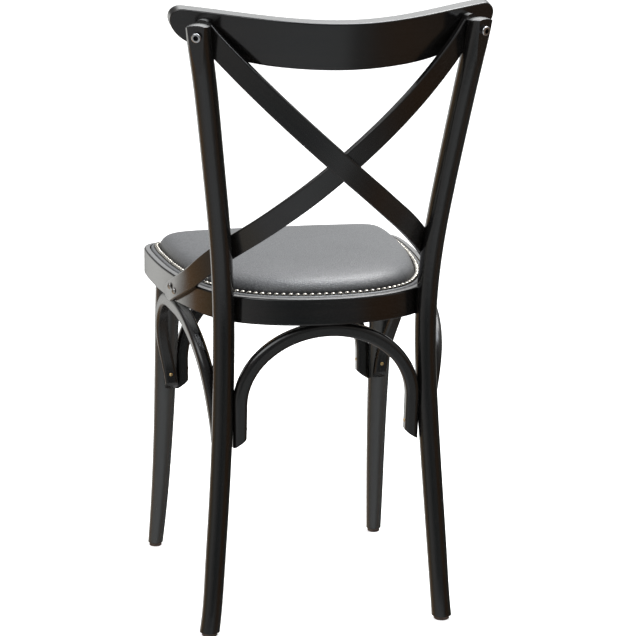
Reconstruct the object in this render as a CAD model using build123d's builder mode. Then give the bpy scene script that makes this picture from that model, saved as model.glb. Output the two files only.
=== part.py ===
from build123d import *
import os
from math import atan2, ceil, cos, degrees, pi, radians, sin, sqrt

os.makedirs("parts", exist_ok=True)

# ---------------------------------------------------------------------------
# Driving dimensions, millimetres.  +Z is up, the sitter faces -Y, +X is the
# sitter's left.  The floor is Z = 0 and the origin is the middle of the
# chair's footprint box.
# ---------------------------------------------------------------------------
GLIDE_H = 6.0            # glide thickness under each leg
GLIDE_R_FRONT = 9.5
GLIDE_R_BACK = 11.0

# Back post, left: centre-line (x, y, z) and radius, from the floor to the rail.
POST = [
    (167.4, 160.6, 6.0, 14.2),
    (160.0, 161.0, 92.2, 14.0),
    (153.4, 157.3, 184.5, 14.3),
    (147.6, 151.3, 276.8, 14.6),
    (143.6, 143.8, 369.0, 15.0),
    (143.0, 142.6, 440.7, 15.1),
    (144.8, 146.6, 492.0, 15.1),
    (149.6, 155.8, 553.5, 15.1),
    (159.4, 171.8, 635.5, 15.2),
    (170.3, 189.8, 717.5, 15.5),
    (182.1, 207.2, 799.5, 16.0),
    (191.9, 221.9, 872.0, 16.5),
]
POST_TOP_Z = 862.6       # top of the post, a shallow dome
POST_DOME_R = 34.0
POST_DOME_ROUND = 1.2    # rounding of the dome's rim
BOLT_Z = 847.5           # height of the bolt through post, slat and rail
FACET_OUT = 12.2         # flat under the bolt head, from the post's centre-line

# Front leg, left: centre-line and radius, floor to the ring's underside.
LEG = [
    (172.6, -254.4, 6.0, 11.4),
    (168.3, -232.4, 102.5, 13.4),
    (165.6, -214.3, 205.0, 15.1),
    (164.5, -197.5, 307.5, 16.8),
    (163.1, -175.4, 441.5, 18.8),
]
LEG_TENON_R = 11.0
LEG_TENON_H = 18.0

# Seat ring: half of its outer outline in plan, from the back to the front.
RING_HALF = [
    (0.0, 184.0), (43.0, 180.2), (80.0, 170.0), (110.0, 154.6), (133.0, 135.0),
    (152.0, 106.0), (168.0, 68.0), (180.0, 22.0), (189.0, -31.0), (194.0, -80.0),
    (196.6, -140.0), (196.2, -188.0), (192.6, -212.0), (185.0, -226.8),
    (173.5, -235.6), (157.0, -239.8), (100.0, -243.6), (0.0, -246.0),
]
RING_Z0 = 441.5          # underside
RING_Z1 = 479.0          # top of the rim
RING_LIP = 8.4           # width of the rim around the seat
RING_REBATE = 12.5       # depth of the rebate that holds the seat
RING_WIDTH = 46.0        # outside to inside of the ring
RING_ROUND = 3.2         # rounding of the rim's outer edge
RING_ROUND_LOW = 2.2

# Seat
PANEL_IN = 9.8           # panel edge, inwards of the ring's outside
PANEL_T = 9.0
BAND_T = 5.0             # padded leather border on the panel's edge
NAIL_IN = 18.2           # nail row, inwards of the ring's outside
NAIL_COUNT = 134
NAIL_R = 4.25
NAIL_H = 2.6
# Foam sections: inwards of the ring's outside, height above the panel
FOAM = [(24.0, 0.0), (25.6, 9.0), (28.6, 13.4), (33.0, 17.5), (41.0, 22.0), (52.0, 26.0), (67.0, 30.0),
        (86.0, 33.5), (106.0, 36.2), (130.0, 38.4), (150.0, 39.3), (172.0, 39.7)]
COVER_T = 1.4

# Crest rail: a bent board raked back by RAKE.  Its rear face in plan is
# given in the raked plane as (x, set forward of the middle).
RAKE = 10.5
RAIL_O = (0.0, 266.1, 863.3)     # middle of the rear face's top edge
RAIL_T = 19.5
RAIL_REAR = [(0.0, 0.0), (51.2, -6.8), (102.5, -25.6), (153.8, -51.9),
             (184.5, -68.2), (205.0, -78.3), (240.0, -94.0)]
RAIL_EDGE = 2.0          # rounding of its long edges
# Outline of half the board: x and height below the top edge
RAIL_OUTLINE_LOW = [(0.0, -63.8), (70.0, -63.6), (123.0, -61.6), (165.0, -54.6), (194.0, -46.0)]
RAIL_OUTLINE_END = [(208.0, -38.6), (216.6, -29.5), (221.0, -18.0), (218.6, -7.6), (211.0, -1.4), (200.0, 0.0)]

# Cross slat with its upper end at the left: centre-line and the direction
# its rear face looks.
SLAT_W = 29.5
SLAT_T = 9.0
SLAT_EDGE = 2.0
SLAT_END_R = 15.4        # the upper end is rounded about its bolt
# The last stations, where the lower end is feathered and let into the ring:
# outer face above the ring's face, inner face below it
SLAT_FEATHER = [(8.2, 0.6), (6.4, 1.5), (2.2, 1.5), (-0.3, 1.6)]
SLAT_TIP_Y = -44.0       # where the feathered lower end is cut square
SLAT_LAP = 4.55          # half the distance between the slats where they cross
SLAT = [
    ((191.9, 189.6, 873.6), (0.46, 0.872, -0.162)),
    ((180.6, 201.6, 852.0), (0.46, 0.872, -0.162)),
    ((146.0, 222.9, 811.1), (0.42, 0.90, -0.15)),
    ((104.1, 239.6, 767.7), (0.33, 0.93, -0.13)),
    ((60.0, 248.6, 725.1), (0.20, 0.97, -0.13)),
    ((14.2, 249.3, 683.1), (0.04, 0.985, -0.16)),
    ((-31.9, 239.2, 642.5), (-0.20, 0.96, -0.19)),
    ((-74.8, 214.3, 604.6), (-0.45, 0.87, -0.20)),
    ((-112.5, 178.3, 569.7), (-0.58, 0.77, -0.22)),
    ((-143.0, 132.6, 537.0), (-0.70, 0.69, -0.20)),
    ((-166.6, 87.0, 503.6), (-0.84, 0.52, -0.15)),
    ((-181.6, 36.0, 475.0), (-0.955, 0.29, -0.05)),
    ((-189.6, 0.0, 459.4), (-0.985, 0.17, 0.0)),
    ((-194.3, -32.0, 445.4), (-0.990, 0.14, 0.0)),
    ((-197.3, -62.0, 432.4), (-0.993, 0.12, 0.0)),
]

# Arches: bent rods, ROD_R thick across the bend and ROD_W wide
ROD_R = 19.4
ROD_W = 18.4
ROD_ROUND_OUT = 7.0
ROD_ROUND_IN = 4.5
ARCH_TOP = RING_Z0 - ROD_R / 2 - 0.02   # centre-line at the crown
BACK_ARCH_R = 122.2      # half width of the bend
BACK_ARCH_H = 104.0      # height of the bend, a half ellipse on straight ends
BACK_ARCH_Y0 = 145.0     # at the ends
BACK_ARCH_Y1 = 161.0     # at the crown
FRONT_ARCH_R = 139.6
FRONT_ARCH_H = 129.0
FRONT_ARCH_Y0 = -204.5
FRONT_ARCH_Y1 = -210.0
ARCH_END_Z = 266.0       # longest point of the ends
FRONT_ARCH_LOWER = 4.5   # how much lower the front arch ends
# Left arch, centre-line from the front leg over to the back post
SIDE_ARCH = [
    (158.6, -178.6, 258.0), (161.8, -178.8, 290.0), (170.2, -173.6, 332.0),
    (177.6, -154.0, 373.0), (180.2, -121.0, 409.0), (180.2, -72.0, 429.4),
    (179.0, -25.0, ARCH_TOP), (177.0, 24.0, 430.2), (171.8, 81.0, 412.2),
    (164.2, 117.0, 377.2), (156.6, 127.0, 335.0), (150.6, 129.2, 292.0),
    (149.6, 129.2, 258.0),
]

# Fasteners
BOLT_HEAD_R = 6.7
BOLT_HEAD_H = 5.2
BOLT_R = 3.0
BOLT_L = 40.0
INSERT_R = 5.0
INSERT_L = 14.0
SCREW_HEAD_R = 2.7
SCREW_HEAD_H = 1.6
SCREW_R = 1.7
SLAT_SCREW_HEAD_R = 4.8
SLAT_SCREW_HEAD_H = 2.4


# ---------------------------------------------------------------------------
# Small helpers
# ---------------------------------------------------------------------------
def unit(v):
    return Vector(*v).normalized()


def tangents(points):
    out = []
    for i in range(len(points)):
        a = Vector(*points[max(0, i - 1)])
        b = Vector(*points[min(len(points) - 1, i + 1)])
        out.append((b - a).normalized())
    return out


def post_at(z):
    for a, b in zip(POST[:-1], POST[1:]):
        if a[2] <= z <= b[2]:
            u = (z - a[2]) / (b[2] - a[2])
            return tuple(a[i] + u * (b[i] - a[i]) for i in range(4))


def dome(r, h):
    # middle and top of a spherical cap's profile, r wide and h high
    ball = (r * r + h * h) / (2 * h)
    half = atan2(r, ball - h) / 2
    return (ball * sin(half), h - ball + ball * cos(half)), (0, h)


# Ring outline as an edge; the other outlines of the seat are set in from it.
ring_half_edge = Spline(*[(x, y) for x, y in RING_HALF], tangents=[(1, 0), (-1, 0)])
RING_STEPS = [i / 30.0 for i in range(31)]


SET_IN_TRUE = 24.0       # beyond this the outline is drawn smaller, not set in
RING_MID_Y = -31.0


def set_in(distance):
    near = min(distance, SET_IN_TRUE)
    points = []
    for u in RING_STEPS:
        p = ring_half_edge @ u
        t = ring_half_edge % u
        points.append((p.X + t.Y * near, p.Y - t.X * near))
    points[0] = (0.0, points[0][1])
    points[-1] = (0.0, points[-1][1])
    if distance > SET_IN_TRUE:
        more = distance - SET_IN_TRUE
        wide = max(x for x, y in points)
        back = points[0][1] - RING_MID_Y
        sx = (wide - more) / wide
        sy = (back - more) / back
        points = [(x * sx, RING_MID_Y + (y - RING_MID_Y) * sy) for x, y in points]
    return points


# ---------------------------------------------------------------------------
# Crest rail
# ---------------------------------------------------------------------------
rake_up = Vector(0, sin(radians(RAKE)), cos(radians(RAKE)))
rake_back = Vector(0, cos(radians(RAKE)), -sin(radians(RAKE)))
rail_plan = Plane(origin=RAIL_O, x_dir=(1, 0, 0), z_dir=rake_up)
rail_face = Plane(origin=RAIL_O, x_dir=(-1, 0, 0), z_dir=rake_back)

rail_rear_pts = [(-x, y) for x, y in reversed(RAIL_REAR[1:])] + RAIL_REAR
rail_rear_edge = Spline(*rail_rear_pts)
rail_front_pts = []
for k in range(41):
    p = rail_rear_edge @ (k / 40.0)
    t = rail_rear_edge % (k / 40.0)
    rail_front_pts.append((p.X + t.Y * RAIL_T, p.Y - t.X * RAIL_T))

with BuildPart() as crest_rail:
    with BuildSketch(rail_plan):
        with BuildLine():
            rear = Spline(*rail_rear_pts)
            front = Spline(*rail_front_pts)
            Line(rear @ 0, front @ 0)
            Line(rear @ 1, front @ 1)
        make_face()
    extrude(amount=-75)
    extrude_top = crest_rail.part.faces().sort_by(Axis.Z)[-1]
    with BuildSketch(rail_face):
        with BuildLine():
            low = [(-x, y) for x, y in reversed(RAIL_OUTLINE_LOW[1:])] + RAIL_OUTLINE_LOW
            s0 = Spline(*low)
            e1 = Spline(low[-1], *RAIL_OUTLINE_END, tangents=[s0 % 1, (-1, 0)])
            e2 = Spline(low[0], *[(-x, y) for x, y in RAIL_OUTLINE_END], tangents=[(s0 % 0) * -1, (1, 0)])
            Line(e1 @ 1, e2 @ 1)
        make_face()
    extrude(amount=160, both=True, mode=Mode.INTERSECT)

rail_blank = crest_rail.part

# Where the bolt's line meets the post
bolt_dir = unit((0.46, 0.872, -0.162))
bolt_x, bolt_y, bolt_z, bolt_post_r = post_at(BOLT_Z)
bolt_c = Vector(bolt_x, bolt_y, bolt_z)

# ---------------------------------------------------------------------------
# Seat ring, before the sockets and screw holes
# ---------------------------------------------------------------------------
with BuildPart() as ring_blank:
    with BuildSketch(Plane.XY.offset(RING_Z0)):
        with BuildLine():
            Spline(*set_in(0.0), tangents=[(1, 0), (-1, 0)])
            mirror(about=Plane.YZ)
        make_face()
    extrude(amount=RING_Z1 - RING_Z0)
    fillet(ring_blank.edges().group_by(Axis.Z)[-1], RING_ROUND)
    fillet(ring_blank.edges().group_by(Axis.Z)[0], RING_ROUND_LOW)
    with BuildSketch(Plane.XY.offset(RING_Z1 - RING_REBATE)):
        with BuildLine():
            Spline(*set_in(RING_LIP), tangents=[(1, 0), (-1, 0)])
            mirror(about=Plane.YZ)
        make_face()
    extrude(amount=RING_REBATE + 5, mode=Mode.SUBTRACT)
    with BuildSketch(Plane.XY.offset(RING_Z0 - 1)):
        with BuildLine():
            Spline(*set_in(RING_WIDTH), tangents=[(1, 0), (-1, 0)])
            mirror(about=Plane.YZ)
        make_face()
    extrude(amount=60, mode=Mode.SUBTRACT)

# ---------------------------------------------------------------------------
# Cross slats: bent strips lofted through sections along their centre-lines
# ---------------------------------------------------------------------------
def slat_planes(side, lap):
    centres = []
    for c, n in SLAT:
        bulge = lap * 2.718281828 ** (-((c[0] / 72.0) ** 2))
        centres.append((c[0], c[1] + bulge, c[2]))
    dirs = tangents(centres)
    faces = [(SLAT_T, 0.0)] * (len(SLAT) - len(SLAT_FEATHER)) + SLAT_FEATHER
    planes = []
    for (c, t, (_, n), (outer, sunk)) in zip(centres, dirs, SLAT, faces):
        n = Vector(*n)
        n = (n - t * n.dot(t)).normalized()
        w = t.cross(n)
        c = Vector(*c) - n * ((SLAT_T - outer + sunk) / 2)
        if side < 0:
            c = Vector(-c.X, c.Y, c.Z)
            t = Vector(-t.X, t.Y, t.Z)
            w = Vector(-w.X, w.Y, w.Z)
        planes.append((Plane(origin=c, x_dir=w, z_dir=t), outer + sunk))
    return planes


with BuildPart() as slat_rear_blank:
    for pl, th in slat_planes(1, SLAT_LAP):
        with BuildSketch(pl):
            RectangleRounded(SLAT_W, th, min(SLAT_EDGE, 0.4 * th))
    loft()

with BuildPart() as slat_front_blank:
    for pl, th in slat_planes(-1, -SLAT_LAP):
        with BuildSketch(pl):
            RectangleRounded(SLAT_W, th, min(SLAT_EDGE, 0.4 * th))
    loft()


# ---------------------------------------------------------------------------
# Fasteners of the back
# ---------------------------------------------------------------------------
bolt_seat = Plane(origin=bolt_c + bolt_dir * FACET_OUT, z_dir=bolt_dir)

with BuildPart() as bolt_one:
    with BuildSketch(bolt_seat):
        Circle(BOLT_HEAD_R)
    extrude(amount=BOLT_HEAD_H)
    fillet(bolt_one.edges().filter_by(GeomType.CIRCLE).sort_by_distance(bolt_c + bolt_dir * 60)[0], 2.0)
    with BuildSketch(bolt_seat.offset(BOLT_HEAD_H - 3.2)):
        RegularPolygon(radius=3.6, side_count=6)
    extrude(amount=6, mode=Mode.SUBTRACT)
    with BuildSketch(bolt_seat):
        Circle(BOLT_R)
    extrude(amount=-BOLT_L)

with BuildPart() as back_bolts:
    add(bolt_one.part)
    mirror(bolt_one.part, about=Plane.YZ)

insert_seat = bolt_seat.offset(-FACET_OUT - 21.6)
with BuildPart() as insert_one:
    with BuildSketch(insert_seat):
        Circle(INSERT_R)
        Circle(BOLT_R, mode=Mode.SUBTRACT)
    extrude(amount=-INSERT_L)

with BuildPart() as rail_inserts:
    add(insert_one.part)
    mirror(insert_one.part, about=Plane.YZ)

with BuildPart() as insert_bore:
    with BuildSketch(insert_seat.offset(1.0)):
        Circle(INSERT_R)
    extrude(amount=-INSERT_L - 1.0)
    with BuildSketch(insert_seat.offset(1.0)):
        Circle(BOLT_R)
    extrude(amount=-INSERT_L - 3.0)

# ---------------------------------------------------------------------------
# Back posts
# ---------------------------------------------------------------------------
def rod_planes(rows, first=None, last=None):
    dirs = tangents([r[:3] for r in rows])
    if first is not None:
        dirs[0] = Vector(*first)
    if last is not None:
        dirs[-1] = Vector(*last)
    return [Plane(origin=r[:3], x_dir=Vector(1, 0, 0).cross(t).cross(t) * -1, z_dir=t) for r, t in zip(rows, dirs)]


roof_x, roof_y, roof_z, _ = post_at(POST_TOP_Z)
post_roof = Plane(origin=(roof_x, roof_y, roof_z), x_dir=(1, 0, 0), z_dir=(0, -1, 0))


def dome_drop(out):
    return POST_DOME_R - sqrt(POST_DOME_R ** 2 - out ** 2)


with BuildPart() as post_blank:
    for row, pl in zip(POST, rod_planes(POST, first=(0, 0, 1))):
        with BuildSketch(pl):
            Circle(row[3])
    loft()
    with BuildSketch(post_roof):
        with BuildLine():
            ThreePointArc((0, 0), (14, -dome_drop(14)), (28, -dome_drop(28)))
            Polyline((28, -dome_drop(28)), (28, 40), (0, 40), (0, 0))
        make_face()
    revolve(axis=Axis((roof_x, roof_y, roof_z), (0, 0, 1)), mode=Mode.SUBTRACT)
    fillet(post_blank.edges().filter_by(lambda e: e.center().Z > POST_TOP_Z - 14), POST_DOME_ROUND)
    with BuildSketch(bolt_seat):
        Rectangle(120, 220)
    extrude(amount=30, mode=Mode.SUBTRACT)

post_axis = (Vector(*POST[-1][:3]) - Vector(*POST[-2][:3])).normalized()
slat_up = (Vector(*SLAT[0][0]) - Vector(*SLAT[1][0])).normalized()
slat_up = (slat_up - bolt_dir * slat_up.dot(bolt_dir)).normalized()
slat_top = Plane(origin=bolt_c, x_dir=slat_up.cross(bolt_dir), z_dir=bolt_dir)

# The upper end of a slat is cut to an arc about its bolt.
with BuildPart() as slat_top_trim:
    with BuildSketch(slat_top):
        with Locations((0, 60)):
            Rectangle(140, 120)
        Circle(SLAT_END_R, mode=Mode.SUBTRACT)
    extrude(amount=60, both=True)

with BuildPart() as cross_slat_rear:
    add(slat_rear_blank.part)
    add(slat_top_trim.part, mode=Mode.SUBTRACT)
    with BuildSketch(Plane.XY.offset(RING_Z0)):
        Rectangle(700, 700)
    extrude(amount=-60, mode=Mode.SUBTRACT)
    with BuildSketch(Plane.XZ.offset(-SLAT_TIP_Y)):
        with Locations((0, RING_Z0)):
            Rectangle(700, 120)
    extrude(amount=60, mode=Mode.SUBTRACT)
    add(rail_blank, mode=Mode.SUBTRACT)
    add(ring_blank.part, mode=Mode.SUBTRACT)
    add(bolt_one.part, mode=Mode.SUBTRACT)

with BuildPart() as cross_slat_front:
    add(slat_front_blank.part)
    mirror(slat_top_trim.part, about=Plane.YZ, mode=Mode.SUBTRACT)
    with BuildSketch(Plane.XY.offset(RING_Z0)):
        Rectangle(700, 700)
    extrude(amount=-60, mode=Mode.SUBTRACT)
    with BuildSketch(Plane.XZ.offset(-SLAT_TIP_Y)):
        with Locations((0, RING_Z0)):
            Rectangle(700, 120)
    extrude(amount=60, mode=Mode.SUBTRACT)
    add(rail_blank, mode=Mode.SUBTRACT)
    add(ring_blank.part, mode=Mode.SUBTRACT)
    add(back_bolts.part, mode=Mode.SUBTRACT)
    add(cross_slat_rear.part, mode=Mode.SUBTRACT)


# Bolts that hold each post to the ring, from inside the ring
def ring_normal_hit(px, py):
    best = None
    for k in range(2, 400):
        u = k / 400.0
        p = ring_half_edge @ u
        t = ring_half_edge % u
        nx, ny = -t.Y, t.X
        d = abs((px - p.X) * t.X + (py - p.Y) * t.Y)
        if best is None or d < best[0]:
            best = (d, p, Vector(nx, ny, 0))
    return best[1], best[2]


POST_BOLT_Z = 455.0
post_hit = post_at(POST_BOLT_Z)
ring_p, ring_n = ring_normal_hit(post_hit[0], post_hit[1])
post_bolt_seat = Plane(origin=Vector(ring_p.X, ring_p.Y, POST_BOLT_Z) - ring_n * 38.0, z_dir=ring_n * -1)

with BuildPart() as washer_one:
    with BuildSketch(post_bolt_seat):
        Circle(8.0)
        Circle(3.0, mode=Mode.SUBTRACT)
    extrude(amount=1.5)

with BuildPart() as post_bolt_one:
    with BuildSketch(post_bolt_seat.offset(1.5)):
        RegularPolygon(radius=5.8, side_count=6)
    extrude(amount=4.2)
    with BuildSketch(post_bolt_seat.offset(1.5)):
        Circle(3.0)
    extrude(amount=-58.0)

with BuildPart() as post_bolt_pocket:
    with BuildSketch(post_bolt_seat):
        Circle(8.6)
    extrude(amount=40)

with BuildPart() as post_bolts:
    add(post_bolt_one.part)
    mirror(post_bolt_one.part, about=Plane.YZ)

with BuildPart() as post_washers:
    add(washer_one.part)
    mirror(washer_one.part, about=Plane.YZ)

with BuildPart() as back_post_left:
    add(post_blank.part)
    add(cross_slat_rear.part, mode=Mode.SUBTRACT)
    add(cross_slat_front.part, mode=Mode.SUBTRACT)
    add(rail_blank, mode=Mode.SUBTRACT)
    add(ring_blank.part, mode=Mode.SUBTRACT)
    add(bolt_one.part, mode=Mode.SUBTRACT)
    add(post_bolt_one.part, mode=Mode.SUBTRACT)

with BuildPart() as back_post_right:
    mirror(post_blank.part, about=Plane.YZ)
    add(cross_slat_rear.part, mode=Mode.SUBTRACT)
    add(cross_slat_front.part, mode=Mode.SUBTRACT)
    add(rail_blank, mode=Mode.SUBTRACT)
    add(ring_blank.part, mode=Mode.SUBTRACT)
    add(back_bolts.part, mode=Mode.SUBTRACT)
    add(post_bolts.part, mode=Mode.SUBTRACT)


# ---------------------------------------------------------------------------
# Front legs with a round tenon into the ring
# ---------------------------------------------------------------------------
with BuildPart() as front_leg_left:
    for row, pl in zip(LEG, rod_planes(LEG, first=(0, 0, 1), last=(0, 0, 1))):
        with BuildSketch(pl):
            Circle(row[3])
    loft()
    with BuildSketch(Plane.XY.offset(LEG[-1][2])):
        with Locations((LEG[-1][0], LEG[-1][1])):
            Circle(LEG_TENON_R)
    extrude(amount=LEG_TENON_H)

with BuildPart() as front_leg_right:
    mirror(front_leg_left.part, about=Plane.YZ)


# ---------------------------------------------------------------------------
# Arches
# ---------------------------------------------------------------------------
def arch_frame(y0, y1):
    up = (Vector(0, y1, ARCH_TOP) - Vector(0, y0, ARCH_END_Z)).normalized()
    return Plane(origin=(0, y1, ARCH_TOP), x_dir=(1, 0, 0), z_dir=Vector(1, 0, 0).cross(up))


back_plane = arch_frame(BACK_ARCH_Y0, BACK_ARCH_Y1)
front_plane = arch_frame(FRONT_ARCH_Y0, FRONT_ARCH_Y1)
ARCH_DROP = ARCH_TOP - ARCH_END_Z
FRONT_DROP = ARCH_DROP + FRONT_ARCH_LOWER

with BuildPart() as back_arch_blank:
    with BuildLine(back_plane) as back_path:
        a1 = Line((BACK_ARCH_R, -ARCH_DROP - 2), (BACK_ARCH_R, -BACK_ARCH_H))
        a2 = EllipticalCenterArc((0, -BACK_ARCH_H), BACK_ARCH_R, BACK_ARCH_H, start_angle=0, arc_size=180)
        a3 = Line((-BACK_ARCH_R, -BACK_ARCH_H), (-BACK_ARCH_R, -ARCH_DROP - 2))
    with BuildSketch(Plane(origin=back_path.line @ 0, x_dir=(1, 0, 0), z_dir=back_path.line % 0)) as rod_section:
        Rectangle(ROD_R, ROD_W)
        fillet(rod_section.vertices().group_by(Axis.X)[-1], ROD_ROUND_OUT)
        fillet(rod_section.vertices().group_by(Axis.X)[0], ROD_ROUND_IN)
    sweep(path=back_path.line)
    for sgn in (1, -1):
        with BuildSketch(back_plane):
            with BuildLine():
                Polyline((sgn * (BACK_ARCH_R + 12), -ARCH_DROP - 0.5), (sgn * (BACK_ARCH_R + 7), -ARCH_DROP),
                         (sgn * (BACK_ARCH_R - 3), -ARCH_DROP + 6.5), (sgn * (BACK_ARCH_R - 12), -ARCH_DROP + 14.5),
                         (sgn * (BACK_ARCH_R - 12), -ARCH_DROP - 30), (sgn * (BACK_ARCH_R + 12), -ARCH_DROP - 30), close=True)
            make_face()
        extrude(amount=30, both=True, mode=Mode.SUBTRACT)

with BuildPart() as front_arch_blank:
    with BuildLine(front_plane) as front_path:
        b1 = Line((FRONT_ARCH_R, -FRONT_DROP - 2), (FRONT_ARCH_R, -FRONT_ARCH_H))
        b2 = EllipticalCenterArc((0, -FRONT_ARCH_H), FRONT_ARCH_R, FRONT_ARCH_H, start_angle=0, arc_size=180)
        b3 = Line((-FRONT_ARCH_R, -FRONT_ARCH_H), (-FRONT_ARCH_R, -FRONT_DROP - 2))
    with BuildSketch(Plane(origin=front_path.line @ 0, x_dir=(1, 0, 0), z_dir=front_path.line % 0)) as rod_section:
        Rectangle(ROD_R, ROD_W)
        fillet(rod_section.vertices().group_by(Axis.X)[-1], ROD_ROUND_OUT)
        fillet(rod_section.vertices().group_by(Axis.X)[0], ROD_ROUND_IN)
    sweep(path=front_path.line)
    for sgn in (1, -1):
        with BuildSketch(front_plane):
            with BuildLine():
                Polyline((sgn * (FRONT_ARCH_R + 12), -FRONT_DROP - 0.5), (sgn * (FRONT_ARCH_R + 7), -FRONT_DROP),
                         (sgn * (FRONT_ARCH_R - 3), -FRONT_DROP + 6.5), (sgn * (FRONT_ARCH_R - 12), -FRONT_DROP + 14.5),
                         (sgn * (FRONT_ARCH_R - 12), -FRONT_DROP - 30), (sgn * (FRONT_ARCH_R + 12), -FRONT_DROP - 30), close=True)
            make_face()
        extrude(amount=30, both=True, mode=Mode.SUBTRACT)

side_mid = Vector(0, (SIDE_ARCH[0][1] + SIDE_ARCH[-1][1]) / 2, 285.0)
side_dirs = tangents(SIDE_ARCH)
with BuildPart() as side_arch_blank:
    for c, t in zip(SIDE_ARCH, side_dirs):
        out = Vector(0, c[1] - side_mid.Y, max(0.0, c[2] - side_mid.Z))
        out = (out - t * out.dot(t)).normalized()
        with BuildSketch(Plane(origin=c, x_dir=out, z_dir=t)) as rod_section:
            Rectangle(ROD_R, ROD_W)
            fillet(rod_section.vertices().group_by(Axis.X)[-1], ROD_ROUND_OUT)
            fillet(rod_section.vertices().group_by(Axis.X)[0], ROD_ROUND_IN)
    loft()
    for y, sgn in ((SIDE_ARCH[0][1], -1), (SIDE_ARCH[-1][1], 1)):
        with BuildSketch(Plane.YZ):
            with BuildLine():
                Polyline((y + sgn * 12, ARCH_END_Z - 0.5), (y + sgn * 7, ARCH_END_Z), (y - sgn * 3, ARCH_END_Z + 6.5),
                         (y - sgn * 12, ARCH_END_Z + 14.5), (y - sgn * 12, ARCH_END_Z - 30), (y + sgn * 12, ARCH_END_Z - 30), close=True)
            make_face()
        extrude(amount=300, mode=Mode.SUBTRACT)

with BuildPart() as arch_back:
    add(back_arch_blank.part)
    add(back_post_left.part, mode=Mode.SUBTRACT)
    add(back_post_right.part, mode=Mode.SUBTRACT)
    with BuildSketch(Plane.XY.offset(RING_Z0 - 0.01)):
        Rectangle(700, 700)
    extrude(amount=30, mode=Mode.SUBTRACT)

with BuildPart() as arch_front:
    add(front_arch_blank.part)
    add(front_leg_left.part, mode=Mode.SUBTRACT)
    add(front_leg_right.part, mode=Mode.SUBTRACT)
    with BuildSketch(Plane.XY.offset(RING_Z0 - 0.01)):
        Rectangle(700, 700)
    extrude(amount=30, mode=Mode.SUBTRACT)

with BuildPart() as arch_left:
    add(side_arch_blank.part)
    add(front_leg_left.part, mode=Mode.SUBTRACT)
    add(back_post_left.part, mode=Mode.SUBTRACT)
    add(ring_blank.part, mode=Mode.SUBTRACT)
    add(arch_back.part, mode=Mode.SUBTRACT)
    add(arch_front.part, mode=Mode.SUBTRACT)

# ---------------------------------------------------------------------------
# Wood screws: one shape, set where each is driven
# ---------------------------------------------------------------------------
def screw_profile(head_r, head_h, shank_r, length):
    mid, top = dome(head_r, head_h)
    return [(0, -length), (shank_r * 0.25, -length), (shank_r, -length + 5), (shank_r, 0), (head_r, 0)], mid, top


with BuildPart() as screw_one:
    with BuildSketch(Plane.XZ):
        with BuildLine():
            pts, mid, top = screw_profile(SCREW_HEAD_R, SCREW_HEAD_H, SCREW_R, 26.0)
            p1 = Polyline(*pts)
            p2 = ThreePointArc(pts[-1], mid, top)
            Line(top, pts[0])
        make_face()
    revolve(axis=Axis.Z)
    with BuildSketch(Plane.XY.offset(0.7)):
        Rectangle(3.6, 0.8)
        Rectangle(0.8, 3.6)
    extrude(amount=4, mode=Mode.SUBTRACT)

ARCH_SCREW_UP = 25.0
end_planes = []
for sgn in (1, -1):
    o = back_plane.from_local_coords((sgn * (BACK_ARCH_R - ROD_R / 2), -ARCH_DROP + ARCH_SCREW_UP, 0))
    end_planes.append(Plane(origin=o, z_dir=(-sgn, 0, 0)))
    o = front_plane.from_local_coords((sgn * (FRONT_ARCH_R - ROD_R / 2), -ARCH_DROP + ARCH_SCREW_UP, 0))
    end_planes.append(Plane(origin=o, z_dir=(-sgn, 0, 0)))
    end_planes.append(Plane(origin=(sgn * (SIDE_ARCH[1][0] - 0.2), SIDE_ARCH[1][1] + ROD_R / 2, ARCH_END_Z + ARCH_SCREW_UP), z_dir=(0, 1, 0)))
    end_planes.append(Plane(origin=(sgn * (SIDE_ARCH[-2][0] - 0.2), SIDE_ARCH[-2][1] - ROD_R / 2, ARCH_END_Z + ARCH_SCREW_UP), z_dir=(0, -1, 0)))

with BuildPart() as arch_end_screws:
    with Locations(*[Location(p) for p in end_planes]):
        add(screw_one.part)

crown_planes = [
    Plane(origin=(0, BACK_ARCH_Y1, ARCH_TOP - ROD_R / 2), x_dir=(1, 0, 0), z_dir=(0, 0, -1)),
    Plane(origin=(0, FRONT_ARCH_Y1, ARCH_TOP - ROD_R / 2), x_dir=(1, 0, 0), z_dir=(0, 0, -1)),
    Plane(origin=(SIDE_ARCH[6][0], SIDE_ARCH[6][1], ARCH_TOP - ROD_R / 2), x_dir=(1, 0, 0), z_dir=(0, 0, -1)),
    Plane(origin=(-SIDE_ARCH[6][0], SIDE_ARCH[6][1], ARCH_TOP - ROD_R / 2), x_dir=(1, 0, 0), z_dir=(0, 0, -1)),
]
with BuildPart() as arch_crown_screws:
    with Locations(*[Location(p) for p in crown_planes]):
        add(screw_one.part)

# Two screws hold each slat's lower end to the ring.
SLAT_SCREWS = [((193.2, 0.4, 465.0), (0.985, 0.17, 0.0)), ((189.9, 16.3, 461.2), (0.97, 0.24, 0.0))]
slat_screw_planes = []
for sgn in (1, -1):
    for o, n in SLAT_SCREWS:
        slat_screw_planes.append(Plane(origin=(sgn * o[0], o[1], o[2]), z_dir=(sgn * n[0], n[1], n[2])))

with BuildPart() as slat_screw_one:
    with BuildSketch(Plane.XZ):
        with BuildLine():
            pts, mid, top = screw_profile(SLAT_SCREW_HEAD_R, SLAT_SCREW_HEAD_H, SCREW_R, 24.0)
            p1 = Polyline(*pts)
            p2 = ThreePointArc(pts[-1], mid, top)
            Line(top, pts[0])
        make_face()
    revolve(axis=Axis.Z)
    with BuildSketch(Plane.XY.offset(1.0)):
        Rectangle(4.4, 0.9)
        Rectangle(0.9, 4.4)
    extrude(amount=4, mode=Mode.SUBTRACT)

with BuildPart() as slat_end_screws:
    with Locations(*[Location(p) for p in slat_screw_planes]):
        add(slat_screw_one.part)

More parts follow.
